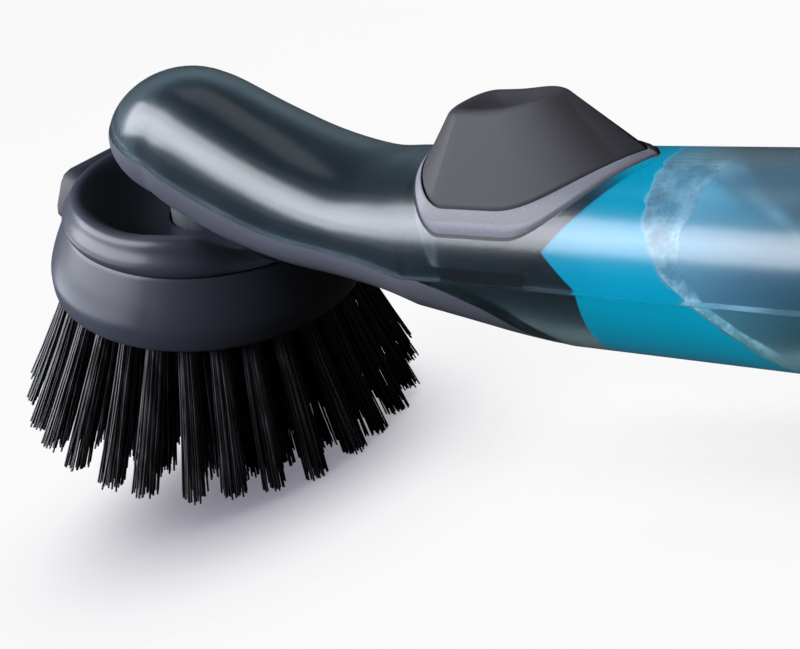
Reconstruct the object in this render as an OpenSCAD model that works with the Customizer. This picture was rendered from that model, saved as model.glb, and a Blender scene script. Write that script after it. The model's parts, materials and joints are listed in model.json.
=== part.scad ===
// Dish wand: a dish brush with a see-through handle that holds soap and a thumb pump that delivers it.
// The brush is drawn with its head level: X runs to the free end of the handle, Z is up, and the origin is
// the middle of the head's lower edge. It is then tipped back to lie on a counter, on the rear of its
// bristles and on its end cap.

/* [Handle] */
// Radius of the handle
tube_r = 15.5; // [14.5:0.1:16]
// Thickness of the see-through wall
wall = 2.1; // [1.8:0.1:2.4]
// Slope of the handle above the plane of the head
handle_rise = 16; // [12:0.5:20]
// Length of the straight tube, from the neck to its open end
tube_len = 146; // [120:1:170]
// Half the angle that the weld leaves open between the two halves
weld_turn = 0.2; // [0.1:0.1:0.5]

/* [Button] */
// Half width of the button where it enters the bezel
button_w = 11.6; // [11:0.1:12]
// Height of the thumb rest above the middle of the handle
button_top = 23.9; // [22:0.1:25]
// Height of the peak at the rear of the button
button_peak = 25.6; // [24:0.1:27]
// How far the button can be pressed
button_travel = 4; // [2:0.5:4]
// Half width of the bezel
bezel_w = 13.4; // [13.2:0.1:13.6]

/* [Head] */
// Radius of the head's lower edge
head_r = 30.8; // [29:0.1:32]
// Height of the seam between the ring and the cap
seam_z = 13.5; // [12:0.1:15]
// Height of the cap's rim
rim_z = 19.5; // [18:0.1:21]
// How far the bristles reach below the head
bristle_len = 28.5; // [22:0.5:32]
// Radius of the trimmed bristle tips
tip_r = 42.5; // [38:0.5:46]

/* [Filler cap] */
// Length of the end cap outside the handle
cap_len = 24; // [20:1:30]
// Radius of the hole that the wand hangs by
hang_r = 4; // [3:0.5:5]

/* [Hidden] */

// The tube starts here, in the plane of the head, and runs along its own axis from there
tube_start = [60, 27];
inner_r = tube_r - wall;
fit_gap = 0.05;
seat_gap = 0.3;
fine = 96;

// The wand lies on the rear edge of the bristles and on the end of the cap, so both give the angle of rest
cap_end_r = 14;
cap_edge_r = 5;
cap_edge = [tube_len + cap_len - cap_edge_r, -cap_end_r + cap_edge_r];
end_x = tube_start[0] + cap_edge[0] * cos(handle_rise) - cap_edge[1] * sin(handle_rise);
end_z = tube_start[1] + cap_edge[0] * sin(handle_rise) + cap_edge[1] * cos(handle_rise);
heel_x = tip_r - 2.8;
heel_z = 1.2 - bristle_len;
// The counter flattens the rearmost bristles by this much
heel_cut = 0.5;
span = norm([end_x - heel_x, end_z - heel_z]);
rest_tilt = atan2(end_z - heel_z, end_x - heel_x) - asin((cap_edge_r + heel_cut) / span);
rest_lift = heel_x * sin(rest_tilt) - heel_z * cos(rest_tilt) - heel_cut;
rest_shift = -93.05;

module at_rest() {
    translate([rest_shift, 0, rest_lift]) rotate([0, rest_tilt, 0]) children();
}

// Along the handle: X is the axis of the tube, with 0 where it leaves the neck
module on_tube() {
    translate([tube_start[0], 0, tube_start[1]]) rotate([0, -handle_rise, 0]) children();
}

module along_x(from) {
    translate([from, 0, 0]) rotate([0, 90, 0]) children();
}

// Undoes on_tube, for a shape that is drawn in the plane of the head
module off_tube() {
    rotate([0, handle_rise, 0]) translate([-tube_start[0], 0, -tube_start[1]]) children();
}

// A flat shape given in X and Z, as thick as the handle
module side_cut(points, reach = 40) {
    rotate([90, 0, 0]) linear_extrude(reach, center = true) polygon(points);
}

// Neck and nose. Each station: distance from the head's axis, height of the seam, height of the crown
// above the seam, depth of the belly below it, half width, lean of the section.
neck = [
    [60.4, 27.11, 15.5, 10.2, 15.5, 16],
    [53, 26.9, 13.4, 9.7, 15.2, 11],
    [43, 25.6, 12.2, 9.7, 14.6, 5],
    [30, 23.9, 13.9, 10.4, 14.1, -1],
    [16, 24.65, 14.9, 12, 13.8, -7],
    [4, 26.5, 15.3, 12.4, 13.5, -12],
    [-1, 27.5, 14.9, 12.35, 12.8, -16]];
nose_len = 18;
neck_steps = 3;
nose_steps = 6;
// Under the start of the tube the belly is still filling out. Each pair: distance along the tube, depth.
belly = [[27, tube_r], [18, 14.2], [9, 12.2]];
belly_steps = 2;

// A smooth curve through four neighbouring stations
function through(a, b, c, d, u) =
    (2 * b + (c - a) * u + (2 * a - 5 * b + 4 * c - d) * u * u + (3 * b - a - 3 * c + d) * u * u * u) / 2;

function station_at(list, i, u) =
    let (n = len(list) - 1)
    through(list[max(i - 1, 0)], list[i], list[min(i + 1, n)], list[min(i + 2, n)], u);

// The nose ends as a quarter of an ellipse, so each station shrinks by the cosine of its place
function nose_at(k) =
    let (turn = 90 * k / nose_steps, last = neck[len(neck) - 1], shrink = max(cos(turn), 0.02),
        run = nose_len * sin(turn))
    [last[0] - run, last[1] + 0.05 * run, last[2] * shrink, last[3] * shrink, last[4] * shrink,
        last[5] - 8 * k / nose_steps];

neck_stations = [
    for (i = [0 : len(neck) - 2], j = [0 : neck_steps - 1]) station_at(neck, i, j / neck_steps),
    for (k = [0 : nose_steps]) nose_at(k)];

function tube_station(along, depth) =
    [tube_start[0] + along * cos(handle_rise), tube_start[1] + along * sin(handle_rise), tube_r, depth, tube_r,
        handle_rise];

belly_line = concat([for (b = belly) tube_station(b[0], b[1])], [neck[0]]);
belly_stations = [
    for (i = [0 : len(belly) - 1], j = [0 : belly_steps - 1]) station_at(belly_line, i, j / belly_steps)];
handle_stations = concat([tube_station(tube_len + 1, tube_r)], belly_stations, neck_stations);

// A point on a station's egg-shaped section, inset from its outside
function egg(s, turn, inset) =
    let (w = max(s[4] - inset, 0.3),
        h = max((sin(turn) >= 0 ? s[2] : s[3]) - inset, 0.3),
        up = h * sin(turn))
    [s[0] - up * sin(s[5]) + inset_nose(s, inset), w * cos(turn), s[1] + up * cos(s[5])];

// Inner surfaces end short of the tip of the nose by the same inset
function inset_nose(s, inset) =
    let (start = neck[len(neck) - 1][0])
    s[0] < start ? inset * (start - s[0]) / nose_len : 0;

// Joins closed rings of points, all with the same count, into one solid with flat ends
module skin(rings) {
    n = len(rings[0]);
    last = len(rings) - 1;
    polyhedron(
        points = [for (ring = rings) each ring],
        faces = [
            [for (i = [n - 1 : -1 : 0]) i],
            for (k = [0 : last - 1], i = [0 : n - 1])
                each [[k * n + i, k * n + (i + 1) % n, (k + 1) * n + i],
                    [k * n + (i + 1) % n, (k + 1) * n + (i + 1) % n, (k + 1) * n + i]],
            [for (i = [0 : n - 1]) last * n + i]],
        convexity = 8);
}

// Half of the handle's wall, from one turn to another: 0 and 180 degrees are on the weld, 90 is on top
module half_wall(from, to, sides = 18) {
    arc = [for (i = [0 : sides]) from + (to - from) * i / sides];
    skin([for (s = handle_stations) concat(
        [for (turn = arc) egg(s, turn, 0)],
        [for (i = [sides : -1 : 0]) egg(s, arc[i], wall)])]);
}

module filled(stations, inset, sides = 28) {
    skin([for (s = stations) [for (i = [0 : sides - 1]) egg(s, 360 * i / sides, inset)]]);
}

// Outline of the button and its bezel seen from above: round in front and drawn to a point at the tail
function shield(front, flat_from, flat_to, tail, w, steps = 9) =
    let (near = [
        for (i = [0 : steps]) let (u = i / steps)
            [flat_from - (flat_from - front) * cos(90 * u), w * sin(90 * u)],
        for (i = [0 : steps]) let (u = i / steps)
            [flat_to + (tail - flat_to) * sin(90 * u), w * pow(cos(90 * u), 1.9)]])
    concat(near, [for (i = [len(near) - 2 : -1 : 1]) [near[i][0], -near[i][1]]]);

bezel_outline = shield(0.8, 9.7, 22, 42.4, bezel_w);
button_outline = shield(2, 10.5, 20, 40.6, button_w);
opening_gap = 0.25;

module shield_prism(outline, grow, low, high) {
    translate([0, 0, low]) linear_extrude(high - low) offset(delta = grow) polygon(outline);
}

// The grey cover leaves the seam here and runs down to a point under the handle
cover_edge = [[3.5, 2], [3.5, 0], [9, -1.5], [17, -5.4], [21, -9.4], [24, -12.3], [26.5, -17]];

module behind_cover(gap) {
    side_cut(concat([for (p = cover_edge) p + [gap, 0]], [[170, -17], [170, 2]]));
}

module upper_shell() {
    color("#5f8790", 0.45) at_rest() difference() {
        half_wall(weld_turn, 180 - weld_turn);
        on_tube() shield_prism(bezel_outline, opening_gap, 2, 20);
        past_end();
    }
}

module lower_shell() {
    color("#4f97a8", 0.45) at_rest() difference() {
        intersection() {
            half_wall(180 + weld_turn, 360 - weld_turn);
            on_tube() behind_cover(0.1);
        }
        past_end();
    }
}

// The wall is drawn a little too long and cut off square where the cap meets it
module past_end() {
    on_tube() translate([tube_len, -30, -30]) cube(60);
}

module neck_cover() {
    color("#5b5d66") at_rest() difference() {
        half_wall(180 + weld_turn, 360 - weld_turn);
        on_tube() behind_cover(0);
        cylinder(r = nozzle_r + fit_gap, h = 40, center = true, $fn = fine);
    }
}

bezel_proud = 0.9;

module button_bezel() {
    color("#62636c") at_rest() on_tube() difference() {
        intersection() {
            along_x(-2) cylinder(r = tube_r + bezel_proud, h = 46, $fn = fine);
            shield_prism(bezel_outline, 0, 2, 20);
        }
        along_x(-3) cylinder(r = inner_r, h = 48, $fn = fine);
        shield_prism(button_outline, seat_gap, 0, 21);
    }
}

module bezel_seal() {
    color("#17181b") at_rest() on_tube() difference() {
        intersection() {
            along_x(-2) cylinder(r = tube_r - 0.5, h = 46, $fn = fine);
            shield_prism(bezel_outline, opening_gap, 2, 20);
        }
        along_x(-3) cylinder(r = inner_r, h = 48, $fn = fine);
        shield_prism(bezel_outline, 0, 1, 21);
    }
}

// Pump
pump_x = 17;
piston_r = 7;
housing_gap = 0.2;
housing_r = inner_r - housing_gap;
housing_from = 1;
housing_to = 33.5;
// The rear of the housing: upright under the axis, then sloped forward up to the button
housing_rear = [[housing_to, -16], [housing_to, 0], [25, 8]];
chamber_floor = -8.6;
outlet_z = -5.5;
well_floor = 1.5;
well_wall = 1.2;
// The well's wall stays a little inside the round of the housing
well_round = housing_r - 0.3;
collar_top = 4.6;

module pump_housing() {
    color("#15191d") at_rest() on_tube() difference() {
        union() {
            housing_body();
            well_shell();
        }
        // The well that the skirt of the button moves in, round a collar that guides the piston
        difference() {
            shield_prism(button_outline, seat_gap, well_floor, 30);
            translate([pump_x, 0, 0]) cylinder(r = piston_r + well_wall, h = collar_top, $fn = fine);
        }
        translate([pump_x, 0, chamber_floor]) cylinder(r = piston_r, h = 30, $fn = fine);
        // Four ports in the chamber's floor, over a gallery that is open to the tank
        translate([pump_x, 0, chamber_floor - 1.6]) cylinder(r = 1.05, h = 3, $fn = 48);
        for (i = [0 : 3]) rotate_about(pump_x, 90 * i + 45) translate([2.3, 0, chamber_floor - 1.2])
            cylinder(r = 0.6, h = 2, $fn = 24);
        translate([pump_x, 0, chamber_floor - 2]) cylinder(r = 3.1, h = 1.2, $fn = 48);
        translate([pump_x, 0, chamber_floor - 1.5]) rotate([0, 90, 0]) cylinder(r = 0.9, h = 30, $fn = 32);
        // Outlet to the neck
        along_x(housing_from - 5) translate([-outlet_z, 0, 0]) cylinder(r = 1.5, h = 16, $fn = 32);
    }
}

module rotate_about(x, turn) {
    translate([x, 0, 0]) rotate([0, 0, turn]) children();
}

module housing_body() {
    intersection() {
        off_tube() filled(concat([tube_station(housing_to + 2, tube_r)], belly_stations, [neck[0]]),
            wall + housing_gap);
        side_cut(concat([[housing_from, -16]], housing_rear, [[housing_from, 8]]));
    }
}

module well_shell() {
    intersection() {
        along_x(housing_from - 3.2) cylinder(r = well_round, h = 44, $fn = fine);
        shield_prism(button_outline, well_wall + seat_gap, 0, 14);
    }
}

module inlet_valve() {
    color("#c9c4b8") at_rest() on_tube() translate([pump_x, 0, chamber_floor]) {
        rotate_extrude($fn = 48) polygon([[0, -1.4], [1, -1.4], [1, 0.05], [4.6, 0.05], [3.2, 0.7], [1.2, 1.1],
            [0, 1.2]]);
    }
}

// Neck: a dark core carries the feed tube from the pump to the nozzle
nozzle_r = 6.4;
nozzle_bore = 3;
nozzle_low = 6.4;
feed_r = 2.4;
feed_z = 22;
feed_bend = 5;
nozzle_top = feed_z - feed_bend - 0.1;

module feed_path(r, from_x) {
    translate([feed_bend, 0, feed_z]) rotate([0, 90, 0]) cylinder(r = r, h = from_x - feed_bend, $fn = 48);
    translate([feed_bend, 0, feed_z - feed_bend]) rotate([90, 0, 0]) rotate([0, 0, 90])
        rotate_extrude(angle = 90, $fn = 48) translate([feed_bend, 0]) circle(r = r, $fn = 32);
}

module neck_core() {
    color("#14171b") at_rest() difference() {
        filled(neck_stations, wall + 0.2);
        on_tube() translate([housing_from - 1.5, -20, -20]) cube(40);
        feed_path(feed_r + fit_gap, 64);
        translate([0, 0, -1]) cylinder(r = nozzle_r + fit_gap, h = nozzle_top + 1.1, $fn = fine);
    }
}

module feed_tube() {
    color("#9aa3a6") at_rest() difference() {
        feed_path(feed_r, 61.6);
        feed_path(feed_r - 0.9, 63);
    }
}

module nozzle() {
    color("#26282c") at_rest() rotate_extrude($fn = fine) polygon([[nozzle_bore, nozzle_low],
        [nozzle_r - 0.6, nozzle_low], [nozzle_r, nozzle_low + 0.6], [nozzle_r, 8.2], [seal_groove_r, 8.2],
        [seal_groove_r, 10.2], [nozzle_r, 10.2], [nozzle_r, nozzle_top], [nozzle_bore, nozzle_top]]);
}

seal_groove_r = 5;
seal_wire_r = 0.82;

module nozzle_seal() {
    color("#0f1012") at_rest() translate([0, 0, 9.2])
        rotate_extrude($fn = fine) translate([socket_r - fit_gap - seal_wire_r, 0]) circle(r = seal_wire_r, $fn = 32);
}

module outlet_valve() {
    color("#c9c4b8") at_rest() difference() {
        translate([0, 0, nozzle_low + 0.3])
            rotate_extrude($fn = 48) polygon([[0, 0], [1.2, 0], [2.4, 3], [nozzle_bore - fit_gap, 3],
                [nozzle_bore - fit_gap, 4.6], [0, 4.6]]);
        translate([0, 0, nozzle_low + 2.4]) cylinder(r1 = 0.5, r2 = 1.8, h = 2.6, $fn = 32);
        translate([-0.9, -0.1, nozzle_low]) cube([1.8, 0.2, 2.6]);
    }
}

// Soap
liquid_r = inner_r - 0.15;
// The foamy surface of the liquid, which slopes away to the rear as the wand lies
foam_line = [[43.5, 16], [44.6, 9], [47.9, 3.1], [58.1, -5.6], [68, -16]];

module soap() {
    color("#00a0c0", 0.8) at_rest() on_tube() difference() {
        along_x(25) cylinder(r = liquid_r, h = 50, $fn = fine);
        side_cut(concat(foam_line, [[80, -16], [80, 16]]));
        side_cut(concat([[20, -16]], [for (p = housing_rear) p + [0.1, 0]], [[25.1, 16], [20, 16]]));
        shield_prism(button_outline, well_wall + 2 * seat_gap, -1, 16);
    }
}

// Filler end
plug_len = 11;
collar_r = inner_r - fit_gap;
collar_bore = 10.6;
cap_seal_wire = 0.9;

module filler_collar() {
    color("#3c3f45") at_rest() on_tube() along_x(tube_len - plug_len - 2) difference() {
        cylinder(r = collar_r, h = plug_len + 2, $fn = fine);
        translate([0, 0, -1]) cylinder(r = collar_bore, h = plug_len + 4, $fn = fine);
    }
}

plug_r = collar_bore - 0.08;

module end_cap() {
    color("#5b5d66") at_rest() on_tube() along_x(tube_len) difference() {
        union() {
            rotate_extrude($fn = fine) polygon([[0, -plug_len], [plug_r - 0.8, -plug_len], [plug_r, -plug_len + 0.8],
                [plug_r, -7], [plug_r - 1.85, -7], [plug_r - 1.85, -4.9], [plug_r, -4.9], [plug_r, 0.1],
                [tube_r, 0.1], [tube_r, 7], [0, 7]]);
            cap_dome();
        }
        translate([0, 0, cap_len - hang_r - 5]) rotate([90, 0, 0]) cylinder(r = hang_r, h = 40, center = true, $fn = fine);
        // Flat cheeks on both sides of the hanging hole
        for (side = [-1, 1]) translate([-20, side * (cheek + 10) - 10, 9]) cube([40, 20, cap_len]);
        grip_grooves();
    }
}

cheek = 6;

module cap_dome() {
    rotate_extrude($fn = fine) polygon(concat([[0, 6.9], [tube_r, 6.9], [tube_r, 9]],
        [for (i = [0 : 8]) let (turn = 90 * i / 8)
            [cap_end_r - cap_edge_r * (1 - cos(turn)), cap_len - cap_edge_r * (1 - sin(turn))]],
        [[0, cap_len]]));
}

module grip_grooves() {
    for (i = [0 : 23]) rotate([0, 0, 15 * i + 7.5]) translate([tube_r + 0.35, 0, 1.2])
        cylinder(r = 0.9, h = 5, $fn = 24);
}

module cap_seal() {
    color("#0f1012") at_rest() on_tube() along_x(tube_len - 5.95)
        rotate_extrude($fn = fine) translate([collar_bore - 0.03 - cap_seal_wire, 0]) circle(r = cap_seal_wire, $fn = 32);
}

// Button cap: rings of points from the foot of the skirt, up the drafted side, over the rim and into the dish
skirt_foot = 6.5;
rim_outline = shield(8.2, 13, 19, 29.3, 4.7);
dish_centre = [17, 0];
dish_depth = 1.5;

function on_saddle(p, lift) = sqrt(pow(tube_r + lift, 2) - p[1] * p[1]);
function rim_height(x) = button_top - 1.2 * pow(max(13 - x, 0) / 5, 2)
    + (button_peak - button_top) * pow(max(x - 18, 0) / 11.3, 1.6);
function between(a, b, u) = a + (b - a) * u;

button_rings = concat(
    [[for (p = button_outline) [p[0], p[1], skirt_foot]],
        [for (p = button_outline) [p[0], p[1], on_saddle(p, 0.9)]]],
    [for (u = [0.3, 0.65, 0.9]) [for (i = [0 : len(rim_outline) - 1])
        let (foot = button_outline[i], rim = rim_outline[i], plan = between(foot, rim, pow(u, 1.15)))
        [plan[0], plan[1], between(on_saddle(foot, 0.9), rim_height(rim[0]) - 0.2, u)]]],
    [for (u = [0, 0.12, 0.4, 0.75]) [for (rim = rim_outline)
        let (plan = between(rim, dish_centre, u))
        [plan[0], plan[1], rim_height(plan[0]) - dish_depth * (1 - pow(1 - u, 2)) * min(1, (29.6 - rim[0]) / 9)]]]);

module button_cap() {
    color("#45454a") at_rest() on_tube() difference() {
        skin(button_rings);
        translate([0, 0, -1]) shield_prism(shield(3.3, 11, 19, 33, button_w - 2.2), 0, 0, 12.5);
    }
}

stem_r = 3;
piston_top = 4.4;

module plunger() {
    color("#8f9296") at_rest() on_tube() translate([pump_x, 0, 0])
        rotate_extrude($fn = fine) polygon([[0, piston_top - 4.2], [piston_r - 0.9, piston_top - 4.2],
            [piston_r - 0.9, piston_top - 3], [piston_r - 2.2, piston_top - 3], [piston_r - 2.2, piston_top - 1.4],
            [piston_r - 0.9, piston_top - 1.4], [piston_r - 0.9, piston_top], [stem_r, piston_top], [stem_r, 9],
            [7, 9], [7, 11.45], [0, 11.45]]);
}

module piston_seal() {
    color("#0f1012") at_rest() on_tube() translate([pump_x, 0, piston_top])
        rotate_extrude($fn = fine) polygon([[piston_r - 2.2 + fit_gap, -2.95], [piston_r - 0.4, -2.95],
            [piston_r - 0.06, -2.6], [piston_r - 0.06, -1.8], [piston_r - 0.4, -1.45],
            [piston_r - 2.2 + fit_gap, -1.45]]);
}

// Return spring: one unbroken tube that stands on the chamber floor under the piston
spring_r = 5.3;
spring_wire = 0.35;
spring_turns = 5;
spring_low = chamber_floor + 0.45;
spring_high = piston_top - 4.65;
spring_steps = 8;

function spring_point(k) =
    let (turn = 360 * k / spring_steps)
    [spring_r * cos(turn), spring_r * sin(turn), between(spring_low, spring_high, k / (spring_turns * spring_steps))];

function spring_ring(k) =
    let (turn = 360 * k / spring_steps, middle = spring_point(k))
    [for (i = [0 : 5]) let (a = 60 * i)
        middle + [spring_wire * cos(a) * cos(turn), spring_wire * cos(a) * sin(turn), spring_wire * sin(a)]];

spring_pitch = (spring_high - spring_low) / spring_turns;
echo(least_gap_of_spring = spring_pitch - 2 * spring_wire);

module return_spring() {
    color("#c8ccd0") at_rest() on_tube() translate([pump_x, 0, 0])
        skin([for (k = [0 : spring_turns * spring_steps]) spring_ring(k)]);
}

// Head
socket_r = 6.75;
block_r = 28.3;
block_low = 0.6;
block_top = 4.8;
cap_spigot_r = 25.2;
cap_low = 8.2;

ring_outside = [[head_r - 0.5, 0], [head_r, 0.5], [head_r + 0.1, 2.6], [head_r - 0.1, 4.6], [head_r - 1.2, 7.6],
    [head_r - 2.7, 10.8], [head_r - 3.9, seam_z]];

module ring_profile() {
    polygon(concat(ring_outside, [[cap_spigot_r + fit_gap, seam_z], [cap_spigot_r + fit_gap, block_top + 0.1],
        [block_r + fit_gap, block_top + 0.1], [block_r + fit_gap, 0]]));
}

// The neck of the handle lies in a saddle across the rear of the head
saddle_z = 26.6;
saddle_r = 15;

module neck_saddle() {
    translate([8, 0, saddle_z]) rotate([0, 90, 0]) cylinder(r = saddle_r, h = 40, $fn = fine);
}

module head_ring() {
    color("#4a4e57") at_rest() difference() {
        rotate_extrude($fn = fine) ring_profile();
        neck_saddle();
    }
}

// Height of the cap's rim round the head: level in front, and let down at the rear for the neck
function rim_at(turn) =
    let (rear = max(cos(turn), 0))
    rim_z + 0.8 * pow(max(-cos(turn), 0), 2) - (rim_z - seam_z - 1.4) * smooth((rear - 0.25) / 0.6);
function smooth(u) = let (v = min(max(u, 0), 1)) v * v * (3 - 2 * v);

cap_steps = 64;
dish_floor = 10.2;

function cap_section(turn) =
    let (top = rim_at(turn), side = top - seam_z)
    [[cap_spigot_r, seam_z + 0.08], [head_r - 4, seam_z + 0.08], [head_r - 3.5, seam_z + 0.35 * side],
        [head_r - 4.1, seam_z + 0.7 * side], [head_r - 5, seam_z + 0.93 * side], [head_r - 6.1, top],
        [head_r - 7.2, top - 0.4], [head_r - 8.6, seam_z + 0.55 * side], [19.5, dish_floor + 0.16 * side + 1],
        [14, dish_floor + 0.2], [3, dish_floor], [3, cap_low], [cap_spigot_r, cap_low]];

module head_cap() {
    color("#464953") at_rest() difference() {
        union() {
            cap_rings = [for (i = [0 : cap_steps - 1]) let (turn = 360 * i / cap_steps)
                [for (p = cap_section(turn)) [p[0] * cos(turn), p[0] * sin(turn), p[1]]]];
            hoop(cap_rings);
            translate([0, 0, block_top + 0.1]) cylinder(r = 10, h = cap_low - block_top + 0.6, $fn = fine);
            translate([0, 0, cap_low + 0.2]) cylinder(r = 8.8, h = 3.2, $fn = fine);
        }
        translate([0, 0, 6.2]) cylinder(r = socket_r, h = 10, $fn = fine);
        cylinder(r = 4.2, h = 10, $fn = fine);
        neck_saddle();
    }
}

// Joins rings of points round a full turn, so the last meets the first
module hoop(rings) {
    m = len(rings);
    n = len(rings[0]);
    polyhedron(
        points = [for (ring = rings) each ring],
        faces = [for (k = [0 : m - 1], i = [0 : n - 1])
            let (next = (k + 1) % m, j = (i + 1) % n)
            each [[k * n + i, k * n + j, next * n + i], [k * n + j, next * n + j, next * n + i]]],
        convexity = 8);
}

module head_gasket() {
    color("#0f1012") at_rest() translate([0, 0, block_top + 0.12]) difference() {
        cylinder(r = 4.15, h = 1.4, $fn = fine);
        translate([0, 0, -1]) cylinder(r = 2.6, h = 4, $fn = fine);
    }
}

module bristle_block() {
    color("#26282d") at_rest() difference() {
        translate([0, 0, block_low]) cylinder(r = block_r, h = block_top - block_low, $fn = fine);
        cylinder(r = 2.6, h = 10, $fn = fine);
    }
}

// Tufts: count, radius where they leave the block, radius of their tips
outer_rows = [[27, 26, 38.6]];
inner_rows = [[21, 20.4, 29.8], [14, 14.4, 20.4], [8, 8.4, 11.6]];
strands = 6;
root_spread = 0.85;
tip_spread = 3.1;
strand_r = 0.42;
slice_low = 0.05;

// Each tuft fans out, and its strands end a little unevenly, alike on both sides
function tuft_turn(row, k) = 360 * (k + 0.5) / row[0];

function strand_root(row, k, i) =
    let (around = tuft_turn(row, k), fan = 360 * i / strands + 30)
    [(row[1] + root_spread * cos(fan)) * cos(around) - root_spread * sin(fan) * sin(around),
        (row[1] + root_spread * cos(fan)) * sin(around) + root_spread * sin(fan) * cos(around), block_low - 0.2];

function strand_tip(row, k, i) =
    let (around = tuft_turn(row, k), fan = 360 * i / strands + 30,
        out = row[2] + tip_spread * cos(fan), side = tip_spread * sin(fan),
        y = out * sin(around) + side * cos(around),
        ragged = 0.7 * sin(137 * abs(y)))
    [out * cos(around) - side * sin(around), y,
        -bristle_len + 0.8 + ragged + 0.008 * pow(max(out - 30, 0), 2)];

module strand(root, tip) {
    around = [0, 120, 240];
    foot = [for (a = around) root + strand_r * [cos(a), sin(a), 0]];
    end = [for (a = around) tip + 0.8 * strand_r * [cos(a), sin(a), 0]];
    polyhedron(points = concat(foot, end),
        faces = [[2, 1, 0], [3, 4, 5], [1, 3, 0], [4, 3, 1], [2, 4, 1], [5, 4, 2], [0, 5, 2], [3, 5, 0]]);
}

module tufts(rows) {
    for (row = rows, k = [0 : row[0] - 1], i = [0 : strands - 1])
        strand(strand_root(row, k, i), strand_tip(row, k, i));
}

module slice(from, to) {
    translate([0, 0, slice_low]) difference() {
        cylinder(r = to, h = block_low - slice_low, $fn = 48);
        translate([0, 0, -1]) cylinder(r = from, h = 4, $fn = 48);
    }
}

// The bristles are one moulding of strands and backing, and the counter flattens the rearmost tips
module bristles(rows, from, to) {
    resize([0, 0, 0]) difference() {
        at_rest() {
            tufts(rows);
            slice(from, to);
        }
        translate([-500, -500, -100]) cube([1000, 1000, 100]);
    }
}

module bristles_outer() {
    color("#101113") bristles(outer_rows, 23.4, block_r - 0.1);
}

module bristles_inner() {
    color("#101113") bristles(inner_rows, 2.7, 23.3);
}

// Scraper
scraper_w = 12.5;
scraper_x = 29.9;

module scraper() {
    color("#3f434b") at_rest() difference() {
        translate([-scraper_x, 0, 0]) rotate([90, 0, 90]) linear_extrude(5)
            offset(r = 3) polygon([[-scraper_w + 3, 8], [scraper_w - 3, 8], [scraper_w - 5, 12.5],
                [-scraper_w + 5, 12.5]]);
        rotate_extrude($fn = fine) polygon(concat([for (p = ring_outside) p + [0.03, 0]],
            [[head_r - 3.3, seam_z + 2], [head_r - 4, seam_z + 4.5], [head_r - 5, 30], [0, 30], [0, 0]]));
        translate([-scraper_x, 0, 7]) rotate([0, -16, 0]) translate([-10, -20, 0]) cube([10, 40, 14]);
    }
}

upper_shell();
lower_shell();
neck_cover();
button_bezel();
bezel_seal();
pump_housing();
inlet_valve();
neck_core();
feed_tube();
nozzle();
outlet_valve();
nozzle_seal();
soap();
filler_collar();
button_cap();
plunger();
piston_seal();
return_spring();
end_cap();
cap_seal();
head_cap();
head_ring();
bristle_block();
bristles_outer();
bristles_inner();
scraper();
head_gasket();
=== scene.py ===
import json
import math
import random

import bmesh
import bpy
from mathutils import Matrix, Vector


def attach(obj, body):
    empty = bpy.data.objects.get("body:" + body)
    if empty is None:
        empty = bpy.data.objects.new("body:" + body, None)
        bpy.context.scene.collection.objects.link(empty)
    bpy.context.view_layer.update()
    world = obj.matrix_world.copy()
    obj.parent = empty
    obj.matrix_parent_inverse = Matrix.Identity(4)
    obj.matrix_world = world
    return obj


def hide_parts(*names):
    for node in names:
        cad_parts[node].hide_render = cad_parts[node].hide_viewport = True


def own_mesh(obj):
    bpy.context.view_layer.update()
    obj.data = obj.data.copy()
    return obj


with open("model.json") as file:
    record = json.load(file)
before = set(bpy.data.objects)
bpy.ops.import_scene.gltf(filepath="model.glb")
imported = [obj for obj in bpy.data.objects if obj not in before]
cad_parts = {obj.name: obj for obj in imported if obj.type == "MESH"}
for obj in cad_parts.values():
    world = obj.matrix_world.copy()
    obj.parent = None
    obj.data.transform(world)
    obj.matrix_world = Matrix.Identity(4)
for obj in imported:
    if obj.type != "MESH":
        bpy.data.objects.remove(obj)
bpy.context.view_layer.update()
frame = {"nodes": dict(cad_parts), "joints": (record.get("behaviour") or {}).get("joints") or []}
random.seed(7)
print("frame loaded:", len(frame["nodes"]), "nodes")

# The places of the head and of the handle come from the joints of the part
jointOf = {j["name"]: j for j in frame["joints"]}
mm = 0.001
tubeStart = Vector((60, 0, 27))  # in the head's own frame, mm
tubeLength = 146
pullAxis = Vector(jointOf["head_release"]["axis"])
handleAxis = Vector(jointOf["cap_turn"]["axis"])
headTilt = math.atan2(-pullAxis.x, -pullAxis.z)
tubeTilt = math.atan2(-handleAxis.z, handleAxis.x)
handleRise = headTilt - tubeTilt
tubePlace = Vector(jointOf["cap_turn"]["pos_m"]) - handleAxis * tubeLength * mm
headTurn = Matrix.Rotation(headTilt, 4, "Y")
headPlace = tubePlace - headTurn @ (tubeStart * mm)
headFrame = Matrix.Translation(headPlace) @ headTurn @ Matrix.Scale(mm, 4)
tubeFrame = Matrix.Translation(tubePlace) @ Matrix.Rotation(tubeTilt, 4, "Y") @ Matrix.Scale(mm, 4)

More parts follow.
